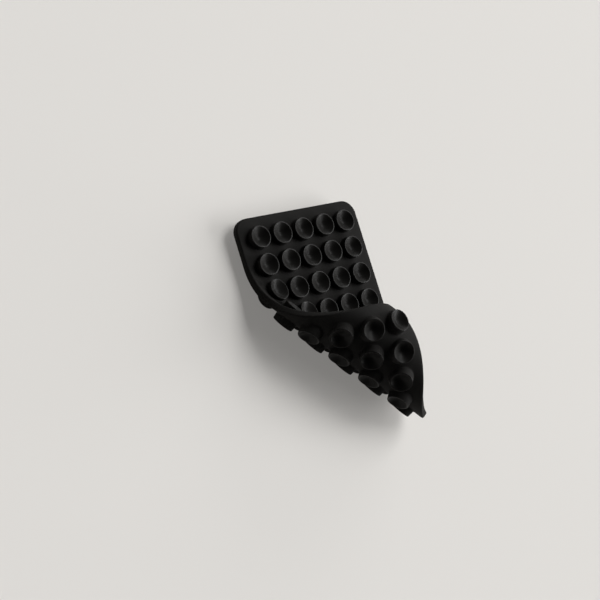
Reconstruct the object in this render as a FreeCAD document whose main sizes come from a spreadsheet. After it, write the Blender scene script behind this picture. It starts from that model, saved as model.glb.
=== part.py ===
import FreeCAD, Part
import math
import os

# A double-sided suction mat moulded in silicone: one plate with rounded corners and a grid of
# suction cups on each face, back to back. The mat lies on the cups of its underside, and one
# corner of it is rolled over, so that the underside shows there. Millimetres, +Z up.

Vector = FreeCAD.Vector
Vector2d = FreeCAD.Base.Vector2d
UP = Vector(0, 0, 1)

doc = FreeCAD.newDocument("suction_mat")

# Driving dimensions
SIZES = (
    ("cup_columns", 5),         # cups across the mat
    ("cup_rows", 8),            # cups along the mat
    ("cup_facets", 12),         # flats round a cup
    ("hollow_steps", 2),        # flats from a hollow's rim to its middle
    ("column_pitch", 10.8),     # between two columns of cups
    ("row_pitch", 11.35),       # between two rows of cups
    ("edge_margin", 8.8),       # from the outer cups' centres to the plate's edge
    ("corner_radius", 6.0),     # the plate's corners, laid flat
    ("plate_thickness", 3.0),
    ("cup_height", 2.8),        # from the plate's face to the cup's lip
    ("mouth_diameter", 9.0),    # the cup at its lip
    ("root_diameter", 9.4),     # the cup in the middle of the plate
    ("lip_width", 0.4),         # the flat ring round the hollow
    ("hollow_depth", 2.4),      # from the lip to the middle of the hollow
    ("hollow_round", 2.5),      # how far from its middle the hollow's cone is rounded off
    ("roll_radius", 12.9),      # from the roll's axis to the middle of the plate
    ("roll_angle", 46.2),       # between the roll's axis and a row of cups, in degrees
    ("rolled_turn", 246.5),     # how far round the roll the plate's corner goes, in degrees
)
sizes = doc.addObject("Spreadsheet::Sheet", "Sizes")
for number, (name, value) in enumerate(SIZES, start=1):
    sizes.set("A%d" % number, name)
    sizes.set("B%d" % number, str(value))
    sizes.setAlias("B%d" % number, name)
doc.recompute()

columns = int(sizes.cup_columns)
rows = int(sizes.cup_rows)
plate_width = (columns - 1) * sizes.column_pitch + 2 * sizes.edge_margin
plate_length = (rows - 1) * sizes.row_pitch + 2 * sizes.edge_margin
middle_height = sizes.cup_height + sizes.plate_thickness / 2

# The roll's axis runs across the mat, and outward points from there at the corner that is rolled.
turn = math.radians(sizes.roll_angle)
along = Vector(-math.cos(turn), math.sin(turn), 0)
outward = Vector(-math.sin(turn), -math.cos(turn), 0)
rolled_corner = Vector(-plate_width / 2, -plate_length / 2, 0)
rolled_turn = math.radians(sizes.rolled_turn)
roll_start = rolled_corner.dot(outward) - rolled_turn * sizes.roll_radius


def past_start(point):
    """How far a point of the flat mat lies past the line where the roll starts."""
    return point.dot(outward) - roll_start


def flat_outline():
    """The plate laid flat: a face bounded by four lines and four quarter arcs."""
    x = plate_width / 2
    y = plate_length / 2
    radius = sizes.corner_radius
    bulge = radius * (1 - math.sqrt(0.5))
    curves = []
    for sx, sy in ((1, -1), (1, 1), (-1, 1), (-1, -1)):
        ends = [Vector(sx * (x - radius), sy * y, 0), Vector(sx * x, sy * (y - radius), 0)]
        if sx * sy > 0:
            ends.reverse()
        if curves:
            curves.append(Part.LineSegment(curves[-1].EndPoint, ends[0]))
        curves.append(Part.Arc(ends[0], Vector(sx * (x - bulge), sy * (y - bulge), 0), ends[1]))
    curves.append(Part.LineSegment(curves[-1].EndPoint, curves[0].StartPoint))
    return Part.Face(Part.Wire([curve.toShape() for curve in curves]))


def on_roll(point):
    """A point of the flat mat as angle and height on the roll's cylinder."""
    return Vector2d(past_start(point) / sizes.roll_radius, point.dot(along))


def wrapped(edge, cylinder):
    """An edge of the flat outline bent round the roll. A line turns into a helix, and a corner's arc
    into a stretch of an ellipse in angle and height."""
    first = edge.FirstParameter
    last = edge.LastParameter
    start, middle, end = [on_roll(edge.valueAt(where)) for where in (first, (first + last) / 2, last)]
    if isinstance(edge.Curve, Part.Line):
        return Part.Geom2d.Line2dSegment(start, end).toShape(cylinder)
    radius = edge.Curve.Radius
    ellipse = Part.Geom2d.Ellipse2d(on_roll(edge.Curve.Center), radius, radius / sizes.roll_radius)
    ellipse.XAxis = Vector2d(0, 1)
    ends = [ellipse.parameter(start), ellipse.parameter(end)]
    whole = 2 * math.pi
    if (ellipse.parameter(middle) - ends[0]) % whole > (ends[1] - ends[0]) % whole:
        ends.reverse()
    return Part.Geom2d.ArcOfEllipse2d(ellipse, ends[0], ends[1], True).toShape(cylinder)


def lower_shell():
    """The plate's lower face: a plane where the mat lies, and a cylinder tangent to it where it rolls."""
    outline = flat_outline()
    span = plate_width + plate_length
    start = outward * roll_start
    corners = [start - along * span, start + along * span]
    corners += [corner + outward * span for corner in reversed(corners)]
    rolled_side = Part.Face(Part.makePolygon(corners + corners[:1]))
    lying = outline.cut(rolled_side).Faces[0]
    lying.translate(UP * sizes.cup_height)

    cylinder = Part.Cylinder()
    cylinder.Radius = sizes.roll_radius + sizes.plate_thickness / 2
    axis_point = start + UP * (sizes.cup_height + cylinder.Radius)
    cylinder.transform(FreeCAD.Placement(axis_point, FreeCAD.Rotation(-UP, outward, along)).toMatrix())
    spare_turn = (2 * math.pi - rolled_turn) / 3
    blank = cylinder.toShape(-spare_turn, rolled_turn + spare_turn, -span, span)
    bent_edges = [wrapped(edge, blank) for edge in outline.common(rolled_side).Edges]
    pieces = blank.generalFuse(bent_edges)[0]
    rolled = min(pieces.Faces, key=lambda face: face.Area)

    shell = Part.Compound([lying, rolled])
    shell.sewShape()
    return shell


def faceted_turning(profile, tip=None):
    """A solid turned from (radius, height) corners, with flat facets round it. Both ends are flat, unless
    the last one runs on to a tip at that height on the axis."""
    facets = int(sizes.cup_facets)
    rings = []
    for radius, height in profile:
        ring = []
        for number in range(facets + 1):
            angle = 2 * math.pi * (number % facets) / facets
            ring.append(Vector(radius * math.cos(angle), radius * math.sin(angle), height))
        rings.append(ring)
    outlines = [rings[0]]
    for low, high in zip(rings, rings[1:]):
        for one in range(facets):
            outlines.append([low[one], low[one + 1], high[one + 1], high[one], low[one]])
    if tip is None:
        outlines.append(rings[-1])
    else:
        for start, end in zip(rings[-1], rings[-1][1:]):
            outlines.append([start, end, Vector(0, 0, tip), start])
    shell = Part.Compound([Part.Face(Part.makePolygon(outline)) for outline in outlines])
    shell.sewShape()
    return Part.makeSolid(shell)


def bowl():
    """A cup's hollow, from above the lip down to its middle: a cone rounded off towards its middle, which
    is a hyperbola turned round the axis, in flat steps."""
    middle = middle_height - sizes.hollow_depth
    rim = sizes.mouth_diameter / 2 - sizes.lip_width
    steepness = sizes.hollow_depth / (math.hypot(rim, sizes.hollow_round) - sizes.hollow_round)
    steps = int(sizes.hollow_steps)
    corners = [(rim, middle_height + sizes.lip_width)]
    for step in range(steps, 0, -1):
        radius = rim * step / steps
        rise = steepness * (math.hypot(radius, sizes.hollow_round) - sizes.hollow_round)
        corners.append((radius, middle + rise))
    return faceted_turning(corners, middle)


def seat(column, row, turned_over):
    """Where a cup stands: its root in the middle of the plate, its mouth square to the plate there."""
    x = (column - (columns - 1) / 2) * sizes.column_pitch
    y = (row - (rows - 1) / 2) * sizes.row_pitch
    flat = Vector(x, y, 0)
    past = max(past_start(flat), 0)
    angle = past / sizes.roll_radius
    rise = middle_height + sizes.roll_radius * (1 - math.cos(angle))
    root = flat + outward * (sizes.roll_radius * math.sin(angle) - past) + UP * rise
    bend = FreeCAD.Rotation(along, math.degrees(angle))
    return FreeCAD.Placement(root, bend * FreeCAD.Rotation(along, turned_over))


# Plate: its lower face, thickened upwards
lower_face = doc.addObject("Part::Feature", "LowerFace")
lower_face.Shape = lower_shell()
plate = doc.addObject("Part::Offset", "Plate")
plate.Source = lower_face
plate.Fill = True
plate.setExpression("Value", "Sizes.plate_thickness")

# Stud: a cup's outer wall, with a little draft, from the middle of the plate to the lip
stud = doc.addObject("Part::Feature", "Stud")
stud.Shape = faceted_turning(((sizes.root_diameter / 2, 0), (sizes.mouth_diameter / 2, middle_height)))

# Hollow: the bowl that leaves a flat lip round it
hollow = doc.addObject("Part::Feature", "Hollow")
hollow.Shape = bowl()

# Moulding: the plate in one piece with the same grid of cups on both of its faces
studs = []
hollows = []
for column in range(columns):
    for row in range(rows):
        for turned_over in (0, 180):
            place = seat(column, row, turned_over)
            studs.append(stud.Shape.copy())
            studs[-1].Placement = place
            hollows.append(hollow.Shape.copy())
            hollows[-1].Placement = place
doc.recompute()
moulding = doc.addObject("Part::Feature", "Moulding")
moulding.Shape = plate.Shape.multiFuse(studs).cut(hollows)

# Ground: soft lips that would reach below the surface the mat lies on are pressed flat there
ground = doc.addObject("Part::Box", "Ground")
mat_span = "(Sizes.cup_columns * Sizes.column_pitch + Sizes.cup_rows * Sizes.row_pitch + 4 * Sizes.edge_margin)"
ground.setExpression("Length", mat_span)
ground.setExpression("Width", mat_span)
ground.setExpression("Height", "Sizes.cup_height")
ground.setExpression("Placement.Base.x", "-%s / 2" % mat_span)
ground.setExpression("Placement.Base.y", "-%s / 2" % mat_span)
ground.setExpression("Placement.Base.z", "-Sizes.cup_height")
resting = doc.addObject("Part::Cut", "Resting")
resting.Base = moulding
resting.Tool = ground
doc.recompute()

# Suction mat: the finished solid, its origin under the middle of its box
suction_mat = doc.addObject("Part::Feature", "SuctionMat")
suction_mat.Label = "suction_mat"
suction_mat.Shape = resting.Shape.Solids[0]
box = suction_mat.Shape.optimalBoundingBox(False, False)
suction_mat.Placement = FreeCAD.Placement(-Vector(box.Center.x, box.Center.y, box.ZMin), FreeCAD.Rotation())
doc.recompute()

for item in doc.Objects:
    if "Invalid" in item.State or "Error" in item.State:
        raise RuntimeError("%s did not build: %s" % (item.Label, item.State))
if moulding.Shape.Volume <= plate.Shape.Volume:
    raise RuntimeError("the plate has no cups")
if len(resting.Shape.Solids) != 1:
    raise RuntimeError("the mat is not one piece")
if suction_mat.Shape.isNull() or not suction_mat.Shape.isValid():
    raise RuntimeError("%s has no valid shape" % suction_mat.Label)

os.makedirs("parts", exist_ok=True)
suction_mat.Shape.exportStep("parts/%s.step" % suction_mat.Label)
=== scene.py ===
import math

import bmesh
import bpy
import numpy as np
from mathutils import Matrix, Vector


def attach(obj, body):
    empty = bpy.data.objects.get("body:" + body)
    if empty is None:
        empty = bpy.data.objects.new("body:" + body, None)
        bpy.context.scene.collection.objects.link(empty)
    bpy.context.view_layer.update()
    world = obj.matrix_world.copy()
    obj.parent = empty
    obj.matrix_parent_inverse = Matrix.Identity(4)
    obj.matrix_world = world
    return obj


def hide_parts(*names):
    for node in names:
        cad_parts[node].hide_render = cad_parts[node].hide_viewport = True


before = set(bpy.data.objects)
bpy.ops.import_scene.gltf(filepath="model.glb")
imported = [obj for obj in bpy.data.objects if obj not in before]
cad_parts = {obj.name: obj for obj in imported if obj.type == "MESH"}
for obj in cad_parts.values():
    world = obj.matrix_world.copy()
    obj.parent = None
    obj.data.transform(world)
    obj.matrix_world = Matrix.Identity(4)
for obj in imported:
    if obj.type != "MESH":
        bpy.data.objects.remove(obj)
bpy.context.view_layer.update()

# Suction mat: one compression moulding in soft silicone rubber, a plate with rounded edges that
# carries the same grid of suction cups on both faces, back to back. It lies on the cups of its
# underside, and one corner is rolled over in a plain round bend, so that the underside shows.

MM = 0.001
columns = 5
rows = 8
column_pitch = 10.8
row_pitch = 11.35
edge_margin = 8.8            # from the outer cups' centres to the plate's edge
corner_radius = 6.0          # the plate's corners, laid flat
half_plate = 1.5             # half the plate's thickness
edge_round = 0.6             # rounding along the plate's edges
cup_height = 2.8             # from the plate's face to the cup's lip
root_radius = 4.63           # the cup's wall at the plate's face
lip_radius = 4.5             # the cup's wall at its lip
lip_width = 0.4              # the lip's flat ring with its rounded edges
lip_round = 0.16             # rounding of the lip's edges
root_fillet = 0.45           # between the plate's face and the cup's wall
hollow_depth = 2.4           # from the lip to the middle of the hollow
hollow_round = 2.5           # how far from its middle the hollow's cone is rounded off
hollow_polish = 0.7          # of the lip's polish
points_a_side = 12           # of a cup's share of the plate
rings_a_round = 4            # on each rounding of a cup, and on its wall
hollow_rings = 7             # between a hollow's lip and its middle
edge_rings = 6               # on each rounding of the plate's edge
join_distance = 0.001        # within which two points of the mesh are one
mat_centre = (-0.311, -0.654)  # the plate's middle, laid flat, from the middle of the part's box

# The roll: its axis runs across the mat, and outward points from there at the rolled corner.
roll_radius = 12.9
roll_angle = math.radians(46.2)
roll_start = 0.03            # from the plate's middle, along outward
along = (-math.cos(roll_angle), math.sin(roll_angle))
outward = (-math.sin(roll_angle), -math.cos(roll_angle))
middle_height = cup_height + half_plate


def bent(x, y, off):
    """Points of the flat mat, off millimetres from the middle of the plate, bent round the roll.
    Past the roll's start, a distance d turns by d / radius. The middle of the plate then lies radius x sin
    of that turn out from the start and radius x (1 - cos) up, and off is square to the plate there."""
    past = np.maximum(x * outward[0] + y * outward[1] - roll_start, 0)
    turn = past / roll_radius
    shift = roll_radius * np.sin(turn) - past - off * np.sin(turn)
    height = middle_height + roll_radius * (1 - np.cos(turn)) + off * np.cos(turn)
    return np.stack((x + outward[0] * shift, y + outward[1] * shift, height), axis=-1)


def seated(x, y, dx, dy, off):
    """Points dx, dy from the middle of a cup at x, y, turned with the plate there as one stiff piece: the
    step along outward and the step off the plate are rotated by the roll's turn at the cup's middle."""
    past = np.maximum(x * outward[0] + y * outward[1] - roll_start, 0)
    turn = past / roll_radius
    step = dx * outward[0] + dy * outward[1]
    side = dx * along[0] + dy * along[1]
    out = step * np.cos(turn) - off * np.sin(turn)
    up = step * np.sin(turn) + off * np.cos(turn)
    turned = np.stack((outward[0] * out + along[0] * side, outward[1] * out + along[1] * side, up), axis=-1)
    return bent(x, y, 0 * x) + turned


def cup_profile():
    """Rings of a cup from its foot to the middle of its hollow, as radius, height above the plate,
    stiffness and polish: a quarter round at the foot, a wall with a little draft, a flat lip with rounded
    edges, and a hollow that is a cone rounded off towards its middle, a hyperbola turned round the axis. It
    rises by steepness x (hypot of radius and rounding - rounding). The foot bends with the plate, the lip
    stays round, and the lip has all of the polish, the hollow most of it."""
    foot = np.linspace(0, math.pi / 2, rings_a_round)
    foot_radius = root_radius + root_fillet * (1 - np.sin(foot))
    foot_height = root_fillet * (1 - np.cos(foot))
    wall_top = cup_height - lip_round
    wall_height = np.linspace(root_fillet, wall_top, rings_a_round)[1:]
    wall_radius = np.interp(wall_height, (root_fillet, wall_top), (root_radius, lip_radius))
    rim = lip_radius - lip_width
    steep = hollow_depth / (math.hypot(rim, hollow_round) - hollow_round)
    opening = math.atan(steep * rim / math.hypot(rim, hollow_round))
    outer = np.linspace(0, math.pi / 2, rings_a_round)[1:]
    inner = np.linspace(0, opening, rings_a_round)
    inner_radius = rim + lip_round * (math.tan(opening / 2) - np.sin(inner))
    lip_radii = np.concatenate((lip_radius - lip_round * (1 - np.cos(outer)), inner_radius))
    lip_drop = np.concatenate((1 - np.sin(outer), 1 - np.cos(inner)))
    hollow = rim * np.linspace(1, 0, hollow_rings + 2)[1:-1]
    hollow_height = cup_height - hollow_depth + steep * (np.hypot(hollow, hollow_round) - hollow_round)
    radius = np.concatenate((foot_radius, wall_radius, lip_radii, hollow))
    height = np.concatenate((foot_height, wall_height, cup_height - lip_round * lip_drop, hollow_height))
    rise = np.clip(height / cup_height, 0, 1)
    stiffness = rise * rise * (3 - 2 * rise)
    lip_start = len(foot_radius) + len(wall_radius)
    stiffness[lip_start:] = 1
    polish = np.zeros(len(radius))
    polish[lip_start:] = 1
    polish[-hollow_rings:] = hollow_polish
    return radius, height, stiffness, polish


def rectangle(half_x, half_y, across, upward):
    """Points round a rectangle at even steps along its sides, anticlockwise from its right upper corner."""
    s = np.linspace(1, -1, across, endpoint=False)
    t = np.linspace(1, -1, upward, endpoint=False)
    x = np.concatenate((half_x * s, np.full(upward, -half_x), -half_x * s, np.full(upward, half_x)))
    y = np.concatenate((np.full(across, half_y), half_y * t, np.full(across, -half_y), -half_y * t))
    return x, y


def cups(face):
    """All the cups of one face with their shares of the plate, as points by cup, ring and step round it.
    The outermost ring is the share's rectangle, the next lies midway to the foot, and the rest turn the
    cup's profile round its middle. face is 1 for the front and -1 for the underside."""
    radius, height, stiffness, polish = cup_profile()
    on_plate = np.zeros(2)
    edge_x, edge_y = rectangle(column_pitch / 2, row_pitch / 2, points_a_side, points_a_side)
    angle = math.pi / 4 + 2 * math.pi * np.arange(len(edge_x)) / len(edge_x)
    ring_x = radius[:, None] * np.cos(angle)
    ring_y = radius[:, None] * np.sin(angle)
    dx = np.concatenate((edge_x[None], (edge_x + ring_x[0])[None] / 2, ring_x))[None]
    dy = np.concatenate((edge_y[None], (edge_y + ring_y[0])[None] / 2, ring_y))[None]
    off = face * (half_plate + np.concatenate((on_plate, height)))[None, :, None]
    stiff = np.concatenate((on_plate, stiffness))[None, :, None, None]
    x, y = np.meshgrid((np.arange(columns) - (columns - 1) / 2) * column_pitch,
                       (np.arange(rows) - (rows - 1) / 2) * row_pitch)
    x = x.reshape(-1, 1, 1)
    y = y.reshape(-1, 1, 1)
    soft_cup = bent(x + dx, y + dy, off + 0 * dx)
    stiff_cup = seated(x, y, dx, dy, off)
    rings = soft_cup + stiff * (stiff_cup - soft_cup)
    hollow_off = face * (half_plate + cup_height - hollow_depth)
    middles = seated(x, y, 0 * x, 0 * y, hollow_off + 0 * x)[:, 0, 0]
    polish = np.concatenate((on_plate, polish))[None, :, None] + 0 * rings[..., 0]
    return rings, middles, polish


def plate_edge():
    """The plate's margin and edge as a band, by station and step round it. It runs from the border of the
    front's cups out to the edge, round it with a quarter round at each face, and back to the border of
    the underside's. A border point's share of its side, from the middle to the corner, is the share of
    the outline's half side and half corner arc at which the edge point lies."""
    half_x = columns * column_pitch / 2
    half_y = rows * row_pitch / 2
    border_x, border_y = rectangle(half_x, half_y, columns * points_a_side, rows * points_a_side)
    straight_x = half_x - column_pitch / 2 + edge_margin - corner_radius
    straight_y = half_y - row_pitch / 2 + edge_margin - corner_radius
    on_side = np.isclose(np.abs(border_x), half_x) & ~np.isclose(np.abs(border_y), half_y)
    share = np.where(on_side, np.abs(border_y) / half_y, np.abs(border_x) / half_x)
    straight = np.where(on_side, straight_y, straight_x)
    run = share * (straight + corner_radius * math.pi / 4)
    swing = np.maximum(run - straight, 0) / corner_radius
    level = np.minimum(run, straight)
    anchor_x = np.sign(border_x) * np.where(on_side, straight_x, level)
    anchor_y = np.sign(border_y) * np.where(on_side, level, straight_y)
    normal_x = np.sign(border_x) * np.where(on_side, np.cos(swing), np.sin(swing))
    normal_y = np.sign(border_y) * np.where(on_side, np.sin(swing), np.cos(swing))
    quarter = np.linspace(0, math.pi / 2, edge_rings)
    reach = corner_radius - edge_round * (1 - np.sin(quarter))
    level_off = half_plate - edge_round * (1 - np.cos(quarter))
    reach = np.concatenate((reach, reach[::-1]))[:, None]
    off = np.concatenate((level_off, -level_off[::-1]))[:, None]
    border = np.stack((border_x, border_y))[:, None]
    edge = np.stack((anchor_x + reach * normal_x, anchor_y + reach * normal_y))
    midway = (border + edge[:, :1]) / 2
    x, y = np.concatenate((border, midway, edge, midway, border), axis=1)
    off = np.concatenate((off[:1], off[:1], off, off[-1:], off[-1:]))
    return bent(x, y, off + 0 * x)


def band_faces(stations, steps, first):
    """Four-cornered faces of a closed band whose points are numbered by station, then by step round it."""
    station = first + np.arange(stations - 1)[:, None] * steps
    step = np.arange(steps)
    here = station + step
    after = station + (step + 1) % steps
    return np.stack((here, here + steps, after + steps, after), axis=-1).reshape(-1, 4)


def mat_mesh():
    """The whole mat as one closed mesh: both faces' cups and the band of the edge, joined at their borders.
    A lip that would reach below the surface it lies on is pressed flat there."""
    points = []
    polish = []
    fours = []
    threes = []
    count = 0
    for face in (1, -1):
        rings, middles, cup_polish = cups(face)
        cup_count, ring_count, steps = rings.shape[:3]
        a_cup = ring_count * steps
        points += [rings.reshape(-1, 3), middles]
        polish += [cup_polish.ravel(), np.full(cup_count, hollow_polish)]
        offsets = count + np.arange(cup_count)[:, None, None] * a_cup
        quads = (offsets + band_faces(ring_count, steps, 0)).reshape(-1, 4)
        last_ring = offsets + (ring_count - 1) * steps
        step = np.arange(steps)[None, :, None]
        here = last_ring + step
        after = last_ring + (step + 1) % steps
        middle = count + cup_count * a_cup + np.arange(cup_count)[:, None, None] + 0 * here
        fans = np.concatenate((here, after, middle), axis=-1).reshape(-1, 3)
        fours.append(quads[:, ::-face])
        threes.append(fans[:, ::face])
        count += cup_count * (a_cup + 1)
    edge = plate_edge()
    points.append(edge.reshape(-1, 3))
    polish.append(np.zeros(edge.shape[0] * edge.shape[1]))
    fours.append(band_faces(edge.shape[0], edge.shape[1], count))
    points = np.concatenate(points) + (mat_centre[0], mat_centre[1], 0)
    points[:, 2] = np.maximum(points[:, 2], 0)
    mesh = bpy.data.meshes.new("suction_mat")
    faces = np.concatenate(fours).tolist() + np.concatenate(threes).tolist()
    mesh.from_pydata((points * MM).tolist(), [], faces)
    mesh.attributes.new("polish", "FLOAT", "POINT").data.foreach_set("value", np.concatenate(polish))
    joined = bmesh.new()
    joined.from_mesh(mesh)
    bmesh.ops.remove_doubles(joined, verts=joined.verts, dist=join_distance * MM)
    joined.to_mesh(mesh)
    joined.free()
    mesh.polygons.foreach_set("use_smooth", np.ones(len(mesh.polygons), dtype=bool))
    mesh.update()
    return mesh


def silicone():
    """Dark charcoal silicone: matt where the mould is blasted, with its fine grain and a faint cloud of
    bloom, satin in the hollows and smoothest on the lips, where the mould is polished."""
    material = bpy.data.materials.new("charcoal_silicone")
    material.use_nodes = True
    nodes = material.node_tree.nodes
    links = material.node_tree.links
    shader = nodes["Principled BSDF"]
    shader.inputs["IOR"].default_value = 1.41
    shader.inputs["Specular IOR Level"].default_value = 0.14
    place = nodes.new("ShaderNodeTexCoord")
    bloom = nodes.new("ShaderNodeTexNoise")
    bloom.inputs["Scale"].default_value = 90
    bloom.inputs["Detail"].default_value = 4
    links.new(place.outputs["Object"], bloom.inputs["Vector"])
    tint = nodes.new("ShaderNodeValToRGB")
    tint.color_ramp.elements[0].position = 0.3
    tint.color_ramp.elements[0].color = (0.0095, 0.0090, 0.0083, 1)
    tint.color_ramp.elements[1].position = 0.75
    tint.color_ramp.elements[1].color = (0.0120, 0.0114, 0.0105, 1)
    links.new(bloom.outputs["Fac"], tint.inputs["Fac"])
    links.new(tint.outputs["Color"], shader.inputs["Base Color"])
    polish = nodes.new("ShaderNodeAttribute")
    polish.attribute_name = "polish"
    blasted = nodes.new("ShaderNodeMapRange")
    blasted.inputs["To Min"].default_value = 0.72
    blasted.inputs["To Max"].default_value = 0.8
    links.new(bloom.outputs["Fac"], blasted.inputs["Value"])
    rough = nodes.new("ShaderNodeMix")
    rough.inputs["B"].default_value = 0.3
    links.new(polish.outputs["Fac"], rough.inputs["Factor"])
    links.new(blasted.outputs["Result"], rough.inputs["A"])
    links.new(rough.outputs["Result"], shader.inputs["Roughness"])
    grain = nodes.new("ShaderNodeTexNoise")
    grain.inputs["Scale"].default_value = 6000
    grain.inputs["Detail"].default_value = 2
    links.new(place.outputs["Object"], grain.inputs["Vector"])
    bump = nodes.new("ShaderNodeBump")
    bump.inputs["Strength"].default_value = 0.12
    bump.inputs["Distance"].default_value = 0.00004
    links.new(grain.outputs["Fac"], bump.inputs["Height"])
    links.new(bump.outputs["Normal"], shader.inputs["Normal"])
    return material


mat = bpy.data.objects.new("suction_mat_moulding", mat_mesh())
bpy.context.scene.collection.objects.link(mat)
mat.data.materials.append(silicone())
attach(mat, "root")
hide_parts("suction_mat")

# Floor: a plain pale matt sheet that the mat lies on. A share of it glows in its own colour for the camera
# and for reflections alone, which keeps the shadow on it pale and hardly lights the mat.
floor_reach = 20.0
floor_mesh = bpy.data.meshes.new("floor")
floor_corners = [(-floor_reach, -floor_reach, 0), (floor_reach, -floor_reach, 0),
                 (floor_reach, floor_reach, 0), (-floor_reach, floor_reach, 0)]
floor_mesh.from_pydata(floor_corners, [], [(0, 1, 2, 3)])
floor = bpy.data.objects.new("floor", floor_mesh)
bpy.context.scene.collection.objects.link(floor)
floor_colour = (0.78, 0.76, 0.73, 1)
floor_glow = 0.25
floor_paint = bpy.data.materials.new("pale_floor")
floor_paint.use_nodes = True
floor_nodes = floor_paint.node_tree.nodes
floor_links = floor_paint.node_tree.links
matt = floor_nodes["Principled BSDF"]
matt.inputs["Base Color"].default_value = floor_colour
matt.inputs["Roughness"].default_value = 0.9
matt.inputs["Specular IOR Level"].default_value = 0.0
glow = floor_nodes.new("ShaderNodeEmission")
glow.inputs["Color"].default_value = floor_colour
ray = floor_nodes.new("ShaderNodeLightPath")
seen = ray.outputs["Is Camera Ray"]
for kind in ("Is Glossy Ray", "Is Transmission Ray"):
    either = floor_nodes.new("ShaderNodeMath")
    either.operation = "MAXIMUM"
    floor_links.new(seen, either.inputs[0])
    floor_links.new(ray.outputs[kind], either.inputs[1])
    seen = either.outputs["Value"]
share = floor_nodes.new("ShaderNodeMath")
share.operation = "MULTIPLY"
share.inputs[1].default_value = floor_glow
floor_links.new(seen, share.inputs[0])
seen_floor = floor_nodes.new("ShaderNodeMixShader")
floor_links.new(share.outputs["Value"], seen_floor.inputs["Fac"])
floor_links.new(matt.outputs["BSDF"], seen_floor.inputs[1])
floor_links.new(glow.outputs["Emission"], seen_floor.inputs[2])
floor_links.new(seen_floor.outputs["Shader"], floor_nodes["Material Output"].inputs["Surface"])
floor_mesh.materials.append(floor_paint)

# Light: three large soft lamps on the right, high, low in front and low behind, a weak lamp from the left,
# and a dim even surround.
lamp_distance = 8.0


def soft_lamp(name, direction, width, length, power):
    """A flat lamp that stands off the mat along direction and faces it. Its length runs along the mat's."""
    lamp = bpy.data.lights.new(name, "AREA")
    lamp.shape = "RECTANGLE"
    lamp.size = width
    lamp.size_y = length
    lamp.energy = power
    holder = bpy.data.objects.new(name, lamp)
    back = Vector(direction).normalized()
    side = Vector((0, 1, 0)).cross(back).normalized()
    turned = Matrix((side, back.cross(side), back)).transposed().to_4x4()
    holder.matrix_world = Matrix.Translation(back * lamp_distance) @ turned
    bpy.context.scene.collection.objects.link(holder)


soft_lamp("key", (0.60, 0.25, 0.76), 4.0, 6.0, 480)
soft_lamp("near", (0.86, -0.36, 0.36), 4.0, 6.4, 640)
soft_lamp("far", (0.68, 0.68, 0.25), 2.8, 5.2, 160)
soft_lamp("fill", (-0.8, 0.3, 0.5), 4.0, 4.0, 9.6)
world = bpy.data.worlds.new("surround")
world.use_nodes = True
surround = world.node_tree.nodes["Background"]
surround.inputs["Color"].default_value = (1.0, 0.98, 0.95, 1)
surround.inputs["Strength"].default_value = 0.03
bpy.context.scene.world = world
bpy.context.scene.view_settings.view_transform = "Standard"

# Camera: looks down on the mat from its left, turned so that the mat's length runs up the picture.
camera_data = bpy.data.cameras.new("camera")
camera_data.lens = 79.6
camera_data.sensor_width = 36
camera = bpy.data.objects.new("camera", camera_data)
camera_place = Vector((-323.08, -36.46, 426.67)) * MM
camera_right = Vector((0.78357, -0.29346, 0.54763)).normalized()
camera_up = Vector((0.18484, 0.95162, 0.24547)).normalized()
camera_back = camera_right.cross(camera_up)
turned = Matrix((camera_right, camera_up, camera_back)).transposed().to_4x4()
camera.matrix_world = Matrix.Translation(camera_place) @ turned
bpy.context.scene.collection.objects.link(camera)
bpy.context.scene.camera = camera
